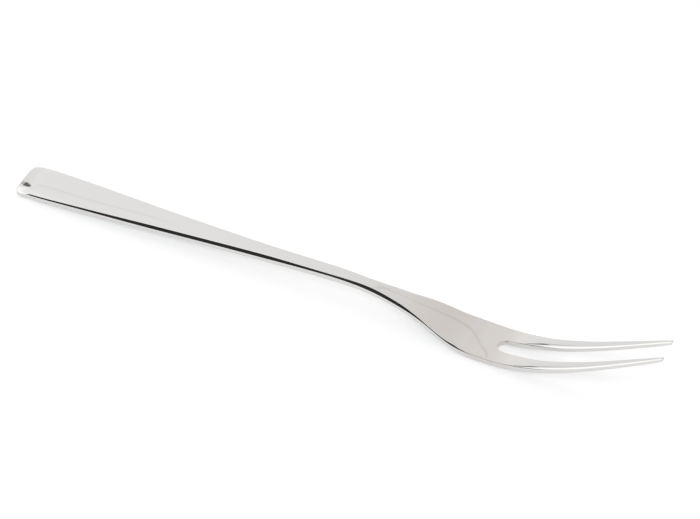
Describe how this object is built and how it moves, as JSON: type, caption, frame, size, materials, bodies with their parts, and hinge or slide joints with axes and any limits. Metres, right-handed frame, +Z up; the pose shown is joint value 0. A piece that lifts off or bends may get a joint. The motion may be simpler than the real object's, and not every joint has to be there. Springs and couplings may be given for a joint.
{
  "type": "seafood fork",
  "caption": "Slim mirror-polished steel fork with a flat tapered handle, a bent neck, a shallow head and long upswept tines, for picking shellfish.",
  "frame": {"origin": "on the table, under the middle of the fork's length and width, as it lies on its handle's end and on the belly of its head", "axes": "+X along the fork from the handle's end to the tips, +Y across the fork, +Z up, out of the hollow side of the head"},
  "size_m": [0.16, 0.011, 0.0187],
  "materials": {
    "polished_steel": "mirror-polished stainless steel, unplated, with fine polishing marks"
  },
  "bodies": {
    "root": {"fork": "polished_steel"}
  },
  "joints": []
}
